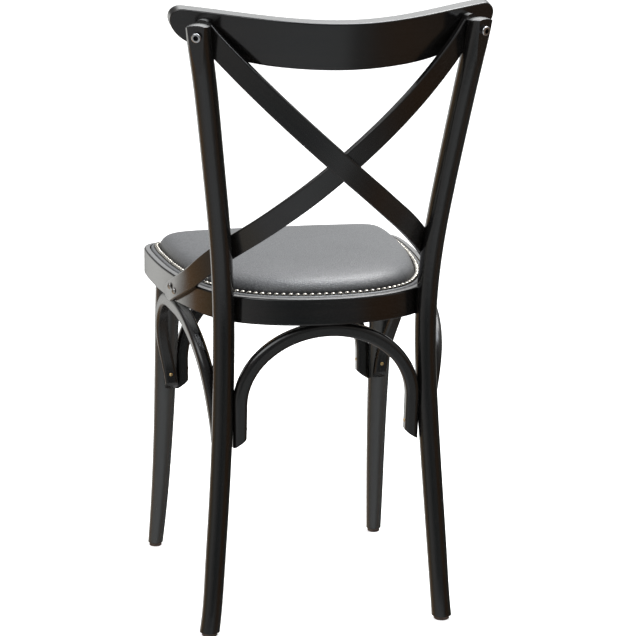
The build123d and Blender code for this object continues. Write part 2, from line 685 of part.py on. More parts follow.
# Screws up through the ring's ledge into the seat panel
panel_screw_spots = []
for u in (0.14, 0.47, 0.93):
    p = ring_half_edge @ u
    t = ring_half_edge % u
    panel_screw_spots.append((p.X + t.Y * 30.0, p.Y - t.X * 30.0))
PANEL_Z0 = RING_Z1 - RING_REBATE
panel_screw_planes = [Plane(origin=(sgn * x, y, PANEL_Z0 + 6.5 - 26.0), x_dir=(1, 0, 0), z_dir=(0, 0, -1))
                      for x, y in panel_screw_spots for sgn in (1, -1)]
with BuildPart() as panel_screws:
    with Locations(*[Location(p) for p in panel_screw_planes]):
        add(screw_one.part)

with BuildPart() as panel_screw_pockets:
    for pl in panel_screw_planes:
        with BuildSketch(pl):
            Circle(SCREW_HEAD_R + 0.6)
        extrude(amount=30)

# ---------------------------------------------------------------------------
# Seat: panel, foam, leather and the nail row
# ---------------------------------------------------------------------------
PANEL_Z1 = PANEL_Z0 + PANEL_T
with BuildPart() as seat_panel:
    with BuildSketch(Plane.XY.offset(PANEL_Z0)):
        with BuildLine():
            Spline(*set_in(PANEL_IN), tangents=[(1, 0), (-1, 0)])
            mirror(about=Plane.YZ)
        make_face()
    extrude(amount=PANEL_T)
    add(panel_screws.part, mode=Mode.SUBTRACT)

with BuildPart() as seat_foam:
    for d, h in FOAM:
        with BuildSketch(Plane.XY.offset(PANEL_Z1 + h)):
            with BuildLine():
                Spline(*set_in(d), tangents=[(1, 0), (-1, 0)])
                mirror(about=Plane.YZ)
            make_face()
    loft(ruled=True)

with BuildPart() as seat_cover:
    for k, (d, h) in enumerate(FOAM):
        with BuildSketch(Plane.XY.offset(PANEL_Z1 + h + (COVER_T if k else 0.0))):
            with BuildLine():
                Spline(*set_in(d - COVER_T), tangents=[(1, 0), (-1, 0)])
                mirror(about=Plane.YZ)
            make_face()
    loft(ruled=True)
    with BuildSketch(Plane.XY.offset(PANEL_Z1)):
        with BuildLine():
            Spline(*set_in(PANEL_IN), tangents=[(1, 0), (-1, 0)])
            mirror(about=Plane.YZ)
        make_face()
    extrude(amount=BAND_T)
    add(seat_foam.part, mode=Mode.SUBTRACT)

with BuildPart() as nail_one:
    with BuildSketch(Plane.XZ):
        with BuildLine():
            n1 = Line((0, 0), (NAIL_R, 0))
            n2 = ThreePointArc((NAIL_R, 0), *dome(NAIL_R, NAIL_H))
            Line((0, NAIL_H), (0, 0))
        make_face()
    revolve(axis=Axis.Z)

nail_edge = Spline(*set_in(NAIL_IN), tangents=[(1, 0), (-1, 0)])
nail_spots = []
for k in range(NAIL_COUNT // 2):
    p = nail_edge @ ((k + 0.5) / (NAIL_COUNT // 2))
    nail_spots.append((p.X, p.Y, PANEL_Z1 + BAND_T))
    nail_spots.append((-p.X, p.Y, PANEL_Z1 + BAND_T))
with BuildPart() as upholstery_nails:
    with Locations(*nail_spots):
        add(nail_one.part)

# ---------------------------------------------------------------------------
# Glides under the legs
# ---------------------------------------------------------------------------
with BuildPart() as glides:
    with BuildSketch(Plane.XY):
        with Locations((POST[0][0], POST[0][1]), (-POST[0][0], POST[0][1])):
            Circle(GLIDE_R_BACK)
        with Locations((LEG[0][0], LEG[0][1]), (-LEG[0][0], LEG[0][1])):
            Circle(GLIDE_R_FRONT)
    extrude(amount=GLIDE_H)
    chamfer(glides.edges().group_by(Axis.Z)[0], 1.2)

# ---------------------------------------------------------------------------
# Holes and sockets for everything that passes through the wood
# ---------------------------------------------------------------------------
with BuildPart() as rail_done:
    add(rail_blank)
    fillet(rail_done.edges().filter_by(lambda e: e.length > 60), RAIL_EDGE)
    add(back_bolts.part, mode=Mode.SUBTRACT)
    add(insert_bore.part, mode=Mode.SUBTRACT)
    mirror(insert_bore.part, about=Plane.YZ, mode=Mode.SUBTRACT)

with BuildPart() as seat_ring:
    add(ring_blank.part)
    add(front_leg_left.part, mode=Mode.SUBTRACT)
    add(front_leg_right.part, mode=Mode.SUBTRACT)
    add(post_bolt_pocket.part, mode=Mode.SUBTRACT)
    mirror(post_bolt_pocket.part, about=Plane.YZ, mode=Mode.SUBTRACT)
    add(post_bolts.part, mode=Mode.SUBTRACT)
    add(panel_screw_pockets.part, mode=Mode.SUBTRACT)
    add(panel_screws.part, mode=Mode.SUBTRACT)
    add(arch_crown_screws.part, mode=Mode.SUBTRACT)
    add(slat_end_screws.part, mode=Mode.SUBTRACT)

with BuildPart() as slat_rear_holed:
    add(cross_slat_rear.part)
    add(slat_end_screws.part, mode=Mode.SUBTRACT)

with BuildPart() as slat_rear_done:
    add(slat_rear_holed.part.solids().sort_by(SortBy.VOLUME)[-1])

with BuildPart() as slat_front_holed:
    add(cross_slat_front.part)
    add(slat_end_screws.part, mode=Mode.SUBTRACT)

with BuildPart() as slat_front_done:
    add(slat_front_holed.part.solids().sort_by(SortBy.VOLUME)[-1])

with BuildPart() as post_left_done:
    add(back_post_left.part)
    add(arch_end_screws.part, mode=Mode.SUBTRACT)

with BuildPart() as post_right_done:
    add(back_post_right.part)
    add(arch_end_screws.part, mode=Mode.SUBTRACT)

with BuildPart() as leg_left_done:
    add(front_leg_left.part)
    add(arch_end_screws.part, mode=Mode.SUBTRACT)

with BuildPart() as leg_right_done:
    mirror(leg_left_done.part, about=Plane.YZ)

with BuildPart() as arch_back_done:
    add(arch_back.part)
    add(arch_end_screws.part, mode=Mode.SUBTRACT)
    add(arch_crown_screws.part, mode=Mode.SUBTRACT)

with BuildPart() as arch_front_done:
    add(arch_front.part)
    add(arch_end_screws.part, mode=Mode.SUBTRACT)
    add(arch_crown_screws.part, mode=Mode.SUBTRACT)

with BuildPart() as arch_left_done:
    add(arch_left.part)
    add(arch_end_screws.part, mode=Mode.SUBTRACT)
    add(arch_crown_screws.part, mode=Mode.SUBTRACT)

with BuildPart() as arch_right_done:
    mirror(arch_left_done.part, about=Plane.YZ)

# ---------------------------------------------------------------------------
# One file per piece
# ---------------------------------------------------------------------------
PIECES = {
    "crest_rail": rail_done, "back_post_left": post_left_done, "back_post_right": post_right_done,
    "cross_slat_rear": slat_rear_done, "cross_slat_front": slat_front_done,
    "seat_ring": seat_ring, "seat_panel": seat_panel, "seat_foam": seat_foam, "seat_cover": seat_cover,
    "upholstery_nails": upholstery_nails, "front_leg_left": leg_left_done, "front_leg_right": leg_right_done,
    "arch_back": arch_back_done, "arch_front": arch_front_done, "arch_left": arch_left_done,
    "arch_right": arch_right_done, "glides": glides, "back_bolts": back_bolts, "rail_inserts": rail_inserts,
    "slat_end_screws": slat_end_screws, "arch_end_screws": arch_end_screws,
    "arch_crown_screws": arch_crown_screws, "post_bolts": post_bolts, "post_washers": post_washers,
    "panel_screws": panel_screws,
}
for name, piece in PIECES.items():
    piece.part.label = name
    export_step(piece.part, "parts/" + name + ".step")
    box = piece.part.bounding_box()
    print(name, round(piece.part.volume), piece.part.is_valid, len(piece.part.solids()),
          [round(v, 1) for v in (box.min.X, box.max.X, box.min.Y, box.max.Y, box.min.Z, box.max.Z)])
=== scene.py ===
import math
import random

import bmesh
import bpy
import numpy as np
from mathutils import Matrix, Vector
from mathutils.bvhtree import BVHTree

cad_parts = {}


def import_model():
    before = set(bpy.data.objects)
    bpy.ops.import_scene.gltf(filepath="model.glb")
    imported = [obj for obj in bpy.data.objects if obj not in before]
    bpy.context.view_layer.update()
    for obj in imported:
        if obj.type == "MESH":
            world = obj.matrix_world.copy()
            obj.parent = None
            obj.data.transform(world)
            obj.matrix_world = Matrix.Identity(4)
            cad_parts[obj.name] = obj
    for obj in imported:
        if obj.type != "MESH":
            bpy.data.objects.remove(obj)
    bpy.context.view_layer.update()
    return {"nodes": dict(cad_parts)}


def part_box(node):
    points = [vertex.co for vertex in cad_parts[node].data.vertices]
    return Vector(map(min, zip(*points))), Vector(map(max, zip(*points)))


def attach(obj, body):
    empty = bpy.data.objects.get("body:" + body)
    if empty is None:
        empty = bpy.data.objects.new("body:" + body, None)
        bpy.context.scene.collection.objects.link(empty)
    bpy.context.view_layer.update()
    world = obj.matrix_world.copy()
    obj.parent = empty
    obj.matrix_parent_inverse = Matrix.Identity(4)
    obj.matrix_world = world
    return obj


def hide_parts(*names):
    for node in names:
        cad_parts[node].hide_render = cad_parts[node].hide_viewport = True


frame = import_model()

N = frame["nodes"]
scene = bpy.context.scene
scene.view_settings.view_transform = "Standard"
scene.view_settings.look = "None"
random.seed(7)
rng = np.random.default_rng(7)

# ---------------------------------------------------------------------------
# Centre-lines of the bent pieces, in metres, so that the grain follows them
# ---------------------------------------------------------------------------
POST = [(.1674, .1606, .006), (.1600, .1610, .0922), (.1534, .1573, .1845), (.1476, .1513, .2768),
        (.1436, .1438, .3690), (.1430, .1426, .4407), (.1448, .1466, .4920), (.1496, .1558, .5535),
        (.1594, .1718, .6355), (.1703, .1898, .7175), (.1821, .2072, .7995), (.1919, .2219, .8720)]
LEG = [(.1726, -.2544, .006), (.1683, -.2324, .1025), (.1656, -.2143, .2050), (.1645, -.1975, .3075),
       (.1631, -.1754, .4600)]
SLAT = [(-.1973, -.0620, .4324), (-.1943, -.0320, .4454), (-.1896, 0.0, .4594), (-.1816, .0360, .4750),
        (-.1666, .0870, .5036), (-.1430, .1326, .5370), (-.1125, .1783, .5697), (-.0748, .2143, .6046),
        (-.0319, .2392, .6425), (.0142, .2493, .6831), (.0600, .2486, .7251), (.1041, .2396, .7677),
        (.1460, .2229, .8111), (.1806, .2016, .8520), (.1919, .1896, .8800)]
RAIL = [(-.2400, -.0940), (-.2050, -.0783), (-.1845, -.0682), (-.1538, -.0519), (-.1025, -.0256), (-.0512, -.0068),
        (0.0, 0.0), (.0512, -.0068), (.1025, -.0256), (.1538, -.0519), (.1845, -.0682), (.2050, -.0783), (.2400, -.0940)]


def flipped(points):
    return [(-p[0],) + tuple(p[1:]) for p in points]


# ---------------------------------------------------------------------------
# Node helpers
# ---------------------------------------------------------------------------
class Tree:
    """A small hand for building node trees."""

    def __init__(self, name):
        self.mat = bpy.data.materials.new(name)
        self.mat.use_nodes = True
        self.nt = self.mat.node_tree
        self.nt.nodes.clear()
        self.out = self.new("ShaderNodeOutputMaterial")
        self.bsdf = self.new("ShaderNodeBsdfPrincipled")
        self.link(self.bsdf.outputs["BSDF"], self.out.inputs["Surface"])

    def new(self, kind, **props):
        n = self.nt.nodes.new(kind)
        for k, v in props.items():
            setattr(n, k, v)
        return n

    def link(self, a, b):
        self.nt.links.new(a, b)

    def put(self, socket, v):
        if isinstance(v, bpy.types.NodeSocket):
            self.link(v, socket)
        else:
            socket.default_value = v

    def math(self, op, a, b=None, c=None, clamp=False):
        n = self.new("ShaderNodeMath", operation=op, use_clamp=clamp)
        self.put(n.inputs[0], a)
        if b is not None:
            self.put(n.inputs[1], b)
        if c is not None:
            self.put(n.inputs[2], c)
        return n.outputs[0]

    def xyz(self):
        n = self.new("ShaderNodeSeparateXYZ")
        self.link(self.new("ShaderNodeTexCoord").outputs["Object"], n.inputs[0])
        return n.outputs[0], n.outputs[1], n.outputs[2]

    def vec(self, x, y, z):
        n = self.new("ShaderNodeCombineXYZ")
        for s, v in zip(n.inputs, (x, y, z)):
            self.put(s, v)
        return n.outputs[0]

    def noise(self, vec, scale=1.0, detail=3.0, rough=0.55, distort=0.0):
        n = self.new("ShaderNodeTexNoise")
        self.link(vec, n.inputs["Vector"])
        n.inputs["Scale"].default_value = scale
        n.inputs["Detail"].default_value = detail
        n.inputs["Roughness"].default_value = rough
        n.inputs["Distortion"].default_value = distort
        return n.outputs["Fac"]

    def ramp(self, fac, stops, smooth=False):
        n = self.new("ShaderNodeValToRGB")
        el = n.color_ramp.elements
        while len(el) < len(stops):
            el.new(0.5)
        for e, (p, c) in zip(el, stops):
            e.position = p
            e.color = (c, c, c, 1) if isinstance(c, (int, float)) else (*c, 1)
        if smooth:
            n.color_ramp.interpolation = "EASE"
        self.link(fac, n.inputs[0])
        return n.outputs[0]

    def mix(self, fac, a, b):
        n = self.new("ShaderNodeMix", data_type="RGBA")
        self.put(n.inputs[0], fac)
        self.put(n.inputs[6], a if isinstance(a, bpy.types.NodeSocket) else (*a, 1))
        self.put(n.inputs[7], b if isinstance(b, bpy.types.NodeSocket) else (*b, 1))
        return n.outputs[2]

    def remap(self, v, a, b, c, d):
        n = self.new("ShaderNodeMapRange")
        self.put(n.inputs[0], v)
        for i, x in enumerate((a, b, c, d), start=1):
            n.inputs[i].default_value = x
        return n.outputs[0]

    def bump(self, height, strength, distance, under=None):
        n = self.new("ShaderNodeBump")
        n.inputs["Strength"].default_value = strength
        n.inputs["Distance"].default_value = distance
        self.link(height, n.inputs["Height"])
        if under is not None:
            self.link(under, n.inputs["Normal"])
        return n.outputs["Normal"]

    def follow(self, t, pairs):
        """A smooth curve through (t, value) pairs."""
        t0, t1 = pairs[0][0], pairs[-1][0]
        lo, hi = min(v for _, v in pairs), max(v for _, v in pairs)
        span = max(hi - lo, 1e-6)
        n = self.new("ShaderNodeFloatCurve")
        c = n.mapping.curves[0]
        while len(c.points) < len(pairs):
            c.points.new(0.5, 0.5)
        for p, (a, v) in zip(c.points, pairs):
            p.location = ((a - t0) / (t1 - t0), (v - lo) / span)
            p.handle_type = "AUTO_CLAMPED"
        n.mapping.update()
        self.link(self.remap(t, t0, t1, 0.0, 1.0), n.inputs["Value"])
        return self.math("MULTIPLY_ADD", n.outputs[0], span, lo)

    def set(self, **kw):
        for k, v in kw.items():
            self.bsdf.inputs[k.replace("_", " ")].default_value = v


def take(node, mat):
    o = N[node]
    o.data.materials.clear()
    o.data.materials.append(mat)


# ---------------------------------------------------------------------------
# Lacquered bent beech: near-black stain, grain and pores along each piece
# ---------------------------------------------------------------------------
def lacquer(name, coords, seed, painted_sheen=0.0, soft=0.0):
    t = Tree(name)
    x, y, z = t.xyz()
    along, a, b = coords(t, x, y, z)
    sx = seed * 3.17

    def field(l, w, detail, rough, distort=0.0):
        return t.noise(t.vec(t.math("MULTIPLY_ADD", along, l, sx), t.math("MULTIPLY", a, w), t.math("MULTIPLY", b, w)), 1.0, detail, rough, distort)

    # wide figure, narrow streaks, short pores
    wide = field(3.0, 55.0, 2.0, 0.5, 0.35)
    streak = field(6.0, 330.0, 3.0, 0.6)
    pores = field(55.0, 1300.0, 2.0, 0.5)
    pore = t.ramp(pores, [(0.63, 0.0), (0.76, 1.0)])
    figure = t.ramp(t.math("MULTIPLY_ADD", streak, 0.6, t.math("MULTIPLY", wide, 0.4)), [(0.38, 0.0), (0.70, 1.0)])
    colour = t.mix(figure, (0.0024, 0.0024, 0.0025), (0.0046, 0.0038, 0.0033))
    colour = t.mix(t.math("MULTIPLY", pore, 0.5), colour, (0.010, 0.0085, 0.0075))
    # painted highlight: the piece's colour is lifted toward grey by this amount, varied by the wide figure
    if painted_sheen:
        colour = t.mix(t.remap(wide, 0.3, 0.7, 0.8 * painted_sheen, 1.2 * painted_sheen), colour, (0.30, 0.315, 0.315))
    # lacquer: even, with slow swells and faint open pores; painted highlight: faces that look up are lightened toward
    # grey, standing in for the reflection they catch
    film = field(8.0, 34.0, 2.0, 0.5)
    facing = t.new("ShaderNodeSeparateXYZ")
    t.link(t.new("ShaderNodeNewGeometry").outputs["Normal"], facing.inputs[0])
    # painted highlight: up-facing faces are mixed toward grey
    painted_top_sheen = t.math("MULTIPLY", t.remap(facing.outputs[2], 0.84, 0.97, 0.0, 1.0), t.remap(film, 0.3, 0.7, 0.9, 1.0))
    t.link(t.mix(painted_top_sheen, colour, (0.185, 0.185, 0.182)), t.bsdf.inputs["Base Color"])
    rough = t.math("MULTIPLY_ADD", pore, 0.12, t.remap(t.math("MULTIPLY_ADD", film, 0.6, t.math("MULTIPLY", streak, 0.4)), 0.3, 0.7, 0.13 + soft, 0.18 + soft))
    t.link(rough, t.bsdf.inputs["Roughness"])
    n1 = t.bump(film, 0.18, 0.0004)
    n2 = t.bump(streak, 0.05, 0.0002, n1)
    n3 = t.bump(pore, 0.22, -0.0001, n2)
    t.link(n3, t.bsdf.inputs["Normal"])
    t.set(IOR=1.5)
    return t.mat


def by_height(points):
    def coords(t, x, y, z):
        gx = t.follow(z, [(p[2], p[0]) for p in points])
        gy = t.follow(z, [(p[2], p[1]) for p in points])
        return z, t.math("SUBTRACT", x, gx), t.math("SUBTRACT", y, gy)
    return coords


def by_width(t, x, y, z):
    g = t.follow(x, RAIL)
    lean = t.math("MULTIPLY", z, math.tan(math.radians(10.5)))
    return x, z, t.math("SUBTRACT", t.math("SUBTRACT", y, g), lean)


def round_seat(t, x, y, z):
    back = t.math("ADD", y, 0.031)
    turn = t.math("ARCTAN2", x, back)
    far = t.math("SQRT", t.math("ADD", t.math("MULTIPLY", x, x), t.math("MULTIPLY", back, back)))
    return t.math("MULTIPLY", turn, 0.2), z, t.math("MULTIPLY", far, 0.25)


def arch_xz(cz, radius, y_mid):
    def coords(t, x, y, z):
        up = t.math("SUBTRACT", z, cz)
        turn = t.math("ARCTAN2", x, up)
        far = t.math("SQRT", t.math("ADD", t.math("MULTIPLY", x, x), t.math("MULTIPLY", up, up)))
        return t.math("MULTIPLY", turn, radius), far, t.math("SUBTRACT", y, y_mid)
    return coords


def arch_yz(t, x, y, z):
    up = t.math("SUBTRACT", z, 0.290)
    side = t.math("ADD", y, 0.025)
    turn = t.math("ARCTAN2", side, up)
    far = t.math("SQRT", t.math("ADD", t.math("MULTIPLY", side, side), t.math("MULTIPLY", up, up)))
    return t.math("MULTIPLY", turn, 0.15), far, x


take("crest_rail", lacquer("wood_rail", by_width, 1))
take("back_post_left", lacquer("wood_post_left", by_height(POST), 2))
take("back_post_right", lacquer("wood_post_right", by_height(flipped(POST)), 3))
# painted highlight: the front legs get a grey lift in their colour
take("front_leg_left", lacquer("wood_leg_left", by_height(LEG), 4, 0.060))
take("front_leg_right", lacquer("wood_leg_right", by_height(flipped(LEG)), 5, 0.050))
take("cross_slat_rear", lacquer("wood_slat_rear", by_height(SLAT), 6))
take("cross_slat_front", lacquer("wood_slat_front", by_height(flipped(SLAT)), 7))
take("seat_ring", lacquer("wood_ring", round_seat, 8))
take("arch_back", lacquer("wood_arch_back", arch_xz(0.3278, 0.1200, 0.155), 9))
take("arch_front", lacquer("wood_arch_front", arch_xz(0.3028, 0.1360, -0.207), 10))
take("arch_left", lacquer("wood_arch_left", arch_yz, 11, 0.0, 0.09))
take("arch_right", lacquer("wood_arch_right", arch_yz, 12, 0.0, 0.09))


# ---------------------------------------------------------------------------
# Metals, plywood, plastic
# ---------------------------------------------------------------------------
def metal(name, colour, dull, rough, scale, bump, grime=0.35):
    t = Tree(name)
    v = t.vec(*t.xyz())
    spots = t.noise(v, scale, 4.0, 0.6)
    fine = t.noise(v, scale * 7.0, 2.0, 0.5)
    t.link(t.mix(t.ramp(spots, [(0.42, 0.0), (0.75, grime)]), colour, dull), t.bsdf.inputs["Base Color"])
    t.link(t.remap(spots, 0.3, 0.7, rough * 0.75, rough * 1.35), t.bsdf.inputs["Roughness"])
    t.link(t.bump(fine, 0.3, bump), t.bsdf.inputs["Normal"])
    t.set(Metallic=1.0)
    return t.mat


zinc = metal("zinc_steel", (0.58, 0.59, 0.61), (0.36, 0.36, 0.36), 0.34, 320.0, 0.00006)
brass = metal("dull_brass", (0.66, 0.49, 0.24), (0.25, 0.17, 0.08), 0.33, 300.0, 0.00006)


# button heads: bright steel round the edge; painted shade: a round patch over the hex socket in the middle is darkened
# near black
def socket_head():
    t = Tree("socket_steel")
    x, y, z = t.xyz()
    v = t.vec(x, y, z)
    wear = t.noise(v, 420.0, 4.0, 0.6)
    fine = t.noise(v, 2600.0, 2.0, 0.5)
    ax = Vector((0.46, 0.872, -0.162)).normalized()
    c = (0.18858, 0.21690, 0.8475)
    p = [t.math("SUBTRACT", t.math("ABSOLUTE", x), c[0]), t.math("SUBTRACT", y, c[1]), t.math("SUBTRACT", z, c[2])]
    on = t.math("ADD", t.math("ADD", t.math("MULTIPLY", p[0], ax.x), t.math("MULTIPLY", p[1], ax.y)), t.math("MULTIPLY", p[2], ax.z))
    off = [t.math("SUBTRACT", q, t.math("MULTIPLY", on, k)) for q, k in zip(p, ax)]
    far = t.math("SQRT", t.math("ADD", t.math("ADD", t.math("MULTIPLY", off[0], off[0]), t.math("MULTIPLY", off[1], off[1])), t.math("MULTIPLY", off[2], off[2])))
    # painted shade: 1 inside the socket's radius, where the colour goes near black
    painted_socket_shade = t.remap(far, 0.0033, 0.0039, 1.0, 0.0)
    steel = t.mix(t.ramp(wear, [(0.45, 0.0), (0.75, 0.4)]), (0.46, 0.46, 0.47), (0.24, 0.235, 0.235))
    t.link(t.mix(painted_socket_shade, steel, (0.020, 0.020, 0.022)), t.bsdf.inputs["Base Color"])
    t.link(t.math("MULTIPLY_ADD", painted_socket_shade, 0.45, t.remap(wear, 0.3, 0.7, 0.12, 0.20)), t.bsdf.inputs["Roughness"])
    t.link(t.bump(fine, 0.3, 0.00003), t.bsdf.inputs["Normal"])
    t.set(Metallic=1.0)
    return t.mat


take("back_bolts", socket_head())
take("rail_inserts", brass)
take("slat_end_screws", metal("dark_zinc", (0.40, 0.39, 0.38), (0.15, 0.14, 0.13), 0.26, 300.0, 0.00006))
take("arch_end_screws", brass)
for node in ("arch_crown_screws", "post_bolts", "post_washers", "panel_screws"):
    take(node, zinc)

# birch plywood: face grain front to back, plies on its edge
t = Tree("birch_plywood")
x, y, z = t.xyz()
grain = t.noise(t.vec(t.math("MULTIPLY", x, 170.0), t.math("MULTIPLY", y, 7.0), t.math("MULTIPLY", z, 30.0)), 1.0, 4.0, 0.6, 0.6)
cloud = t.noise(t.vec(t.math("MULTIPLY", x, 14.0), t.math("MULTIPLY", y, 3.0), z), 1.0, 2.0)
plies = t.math("GREATER_THAN", t.math("PINGPONG", t.math("ADD", z, 0.0), 0.0015), 0.00075)
face = t.mix(t.math("MULTIPLY_ADD", grain, 0.7, t.math("MULTIPLY", cloud, 0.3)), (0.68, 0.52, 0.34), (0.40, 0.26, 0.14))
t.link(t.mix(t.math("MULTIPLY", plies, 0.30), face, (0.30, 0.19, 0.10)), t.bsdf.inputs["Base Color"])
t.link(t.remap(grain, 0.3, 0.7, 0.55, 0.72), t.bsdf.inputs["Roughness"])
t.link(t.bump(grain, 0.3, 0.0002), t.bsdf.inputs["Normal"])
take("seat_panel", t.mat)

# brown moulded glides
t = Tree("glide_plastic")
v = t.vec(*t.xyz())
fleck = t.noise(v, 900.0, 3.0, 0.6)
scuff = t.noise(v, 120.0, 4.0, 0.65)
t.link(t.mix(t.ramp(scuff, [(0.45, 0.0), (0.72, 1.0)]), (0.030, 0.016, 0.011), (0.075, 0.050, 0.038)), t.bsdf.inputs["Base Color"])
t.link(t.remap(scuff, 0.3, 0.7, 0.42, 0.62), t.bsdf.inputs["Roughness"])
t.link(t.bump(fleck, 0.35, 0.00012), t.bsdf.inputs["Normal"])
take("glides", t.mat)

# open-cell foam, inside the cover
t = Tree("seat_foam_cells")
v = t.vec(*t.xyz())
cells = t.noise(v, 1400.0, 2.0, 0.7)
t.link(t.mix(cells, (0.62, 0.56, 0.40), (0.82, 0.78, 0.62)), t.bsdf.inputs["Base Color"])
t.link(t.bump(cells, 0.6, 0.0004), t.bsdf.inputs["Normal"])
t.set(Roughness=0.9)
take("seat_foam", t.mat)


# ---------------------------------------------------------------------------
# Leather: fine pebble grain with slow tone changes
# ---------------------------------------------------------------------------
def leather(name):
    t = Tree(name)
    v = t.vec(*t.xyz())
    warp = t.new("ShaderNodeTexNoise")
    t.link(v, warp.inputs["Vector"])
    warp.inputs["Scale"].default_value = 320.0
    warp.inputs["Detail"].default_value = 2.0
    shift = t.new("ShaderNodeVectorMath", operation="MULTIPLY_ADD")
    t.link(warp.outputs["Color"], shift.inputs[0])
    shift.inputs[1].default_value = (0.0016, 0.0016, 0.0016)
    t.link(v, shift.inputs[2])
    cell = t.new("ShaderNodeTexVoronoi", feature="DISTANCE_TO_EDGE")
    t.link(shift.outputs[0], cell.inputs["Vector"])
    cell.inputs["Scale"].default_value = 300.0
    pebble = t.ramp(cell.outputs["Distance"], [(0.0, 0.0), (0.22, 0.85), (0.55, 1.0)])
    fine = t.noise(v, 2400.0, 2.0, 0.6)
    slow = t.noise(v, 16.0, 3.0, 0.5)
    crease = t.noise(t.vec(*[t.math("MULTIPLY", s, k) for s, k in zip(t.xyz(), (70.0, 150.0, 90.0))]), 1.0, 3.0, 0.6, 0.8)
    tone = t.mix(slow, (0.110, 0.113, 0.117), (0.129, 0.132, 0.136))
    valley = t.math("MULTIPLY", t.math("SUBTRACT", 1.0, pebble), 0.58)
    # painted shade: the crease along the nails and the foot of the wall are darkened near black, with their reflection
    # cut, as marked on the laid hide
    painted_groove_shade = t.new("ShaderNodeAttribute", attribute_name="painted_groove_shade").outputs["Fac"]
    skin = t.mix(valley, tone, (0.045, 0.045, 0.048))
    t.link(t.mix(painted_groove_shade, skin, (0.010, 0.010, 0.010)), t.bsdf.inputs["Base Color"])
    t.link(t.math("MULTIPLY_ADD", painted_groove_shade, -0.62, 0.75), t.bsdf.inputs["Specular IOR Level"])
    r = t.remap(slow, 0.3, 0.7, 0.25, 0.30)
    t.link(t.math("MULTIPLY_ADD", valley, 0.25, r), t.bsdf.inputs["Roughness"])
    n1 = t.bump(crease, 0.22, 0.0010)
    n2 = t.bump(pebble, 0.8, 0.00027, n1)
    n3 = t.bump(fine, 0.2, 0.00005, n2)
    t.link(n3, t.bsdf.inputs["Normal"])
    t.set(Sheen_Weight=0.03, Sheen_Roughness=0.45, IOR=1.45)
    return t.mat


hide = leather("grey_leather")
take("seat_cover", hide)


# ---------------------------------------------------------------------------
# Seat: outline read from the panel, the pad swollen as cloth, then relaid
# as one hide with its border, the row of nails and their small pulls
# ---------------------------------------------------------------------------
def coords_of(o):
    c = np.zeros(len(o.data.vertices) * 3)
    o.data.vertices.foreach_get("co", c)
    return c.reshape(-1, 3)


def nail_tops():
    c = coords_of(N["upholstery_nails"])
    top = c[c[:, 2] > c[:, 2].max() - 0.00002]
    found = []
    for p in top:
        if not any(abs(p[0] - q[0]) + abs(p[1] - q[1]) < 0.003 for q in found):
            found.append(p)
    found = np.array(found)
    turn = np.arctan2(found[:, 0], found[:, 1] + 0.031)
    return found[np.argsort(turn)]


def closed_line(points, per):
    """A smooth closed line through evenly set points, per steps from each to the next, and its outward normals."""
    n = len(points)
    m = np.zeros((n, n))
    for i in range(n):
        m[i, i - 1] = m[i, (i + 1) % n] = 1.0
        m[i, i] = 4.0
    bend = np.linalg.solve(m, 6.0 * (np.roll(points, -1, 0) - 2 * points + np.roll(points, 1, 0)))
    q = []
    for i in range(n):
        j = (i + 1) % n
        for k in range(per):
            u = k / per
            q.append((1 - u) * points[i] + u * points[j]
                     + ((1 - u) ** 3 - (1 - u)) * bend[i] / 6 + (u ** 3 - u) * bend[j] / 6)
    q = np.array(q)
    t = np.roll(q, -1, 0) - np.roll(q, 1, 0)
    t /= np.linalg.norm(t, axis=1)[:, None]
    normal = np.stack([t[:, 1], -t[:, 0]], axis=1)
    normal *= np.sign((normal * (q - MID)).sum(1).mean())
    return q, normal


PANEL_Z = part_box("seat_panel")[1].z
TOP_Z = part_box("seat_cover")[1].z
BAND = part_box("upholstery_nails")[0].z - PANEL_Z
MID = np.array([0.0, -0.031])
nails = nail_tops()
PER = 8
COLS = len(nails) * PER
row, row_n = closed_line(nails[:, :2], PER)


def inside(d):
    """The nail row's line moved inwards by d metres: true for the first 5 mm, then drawn to the middle."""
    near = min(d, 0.005)
    q = row - row_n * near
    if d > near:
        q = MID + (q - MID) * max(0.0, 1.0 - (d - near) / 0.172)
    return q


def crown(d):
    """Rough height of the pad above the panel, d metres inside the nail row."""
    e = max(0.0, d - 0.0040)
    return BAND + 0.0145 * (1 - math.exp(-e / 0.0060)) + 0.0220 * (1 - math.exp(-e / 0.055))


def lay(rings, cap_top=True):
    """A mesh of closed rings, [(outline, z array)], joined ring to ring; the caller closes the last one at the middle.
    """
    verts, faces = [], []
    for q, zz in rings:
        for (px, py), pz in zip(q, np.broadcast_to(zz, (len(q),))):
            verts.append((px, py, pz))
    n = len(rings[0][0])
    for r in range(len(rings) - 1):
        for k in range(n):
            a, b = r * n + k, r * n + (k + 1) % n
            faces.append((a, b, b + n, a + n))
    return verts, faces


def made(name, verts, faces):
    me = bpy.data.meshes.new(name)
    me.from_pydata([tuple(v) for v in verts], [], faces)
    me.update()
    o = bpy.data.objects.new(name, me)
    scene.collection.objects.link(o)
    return o


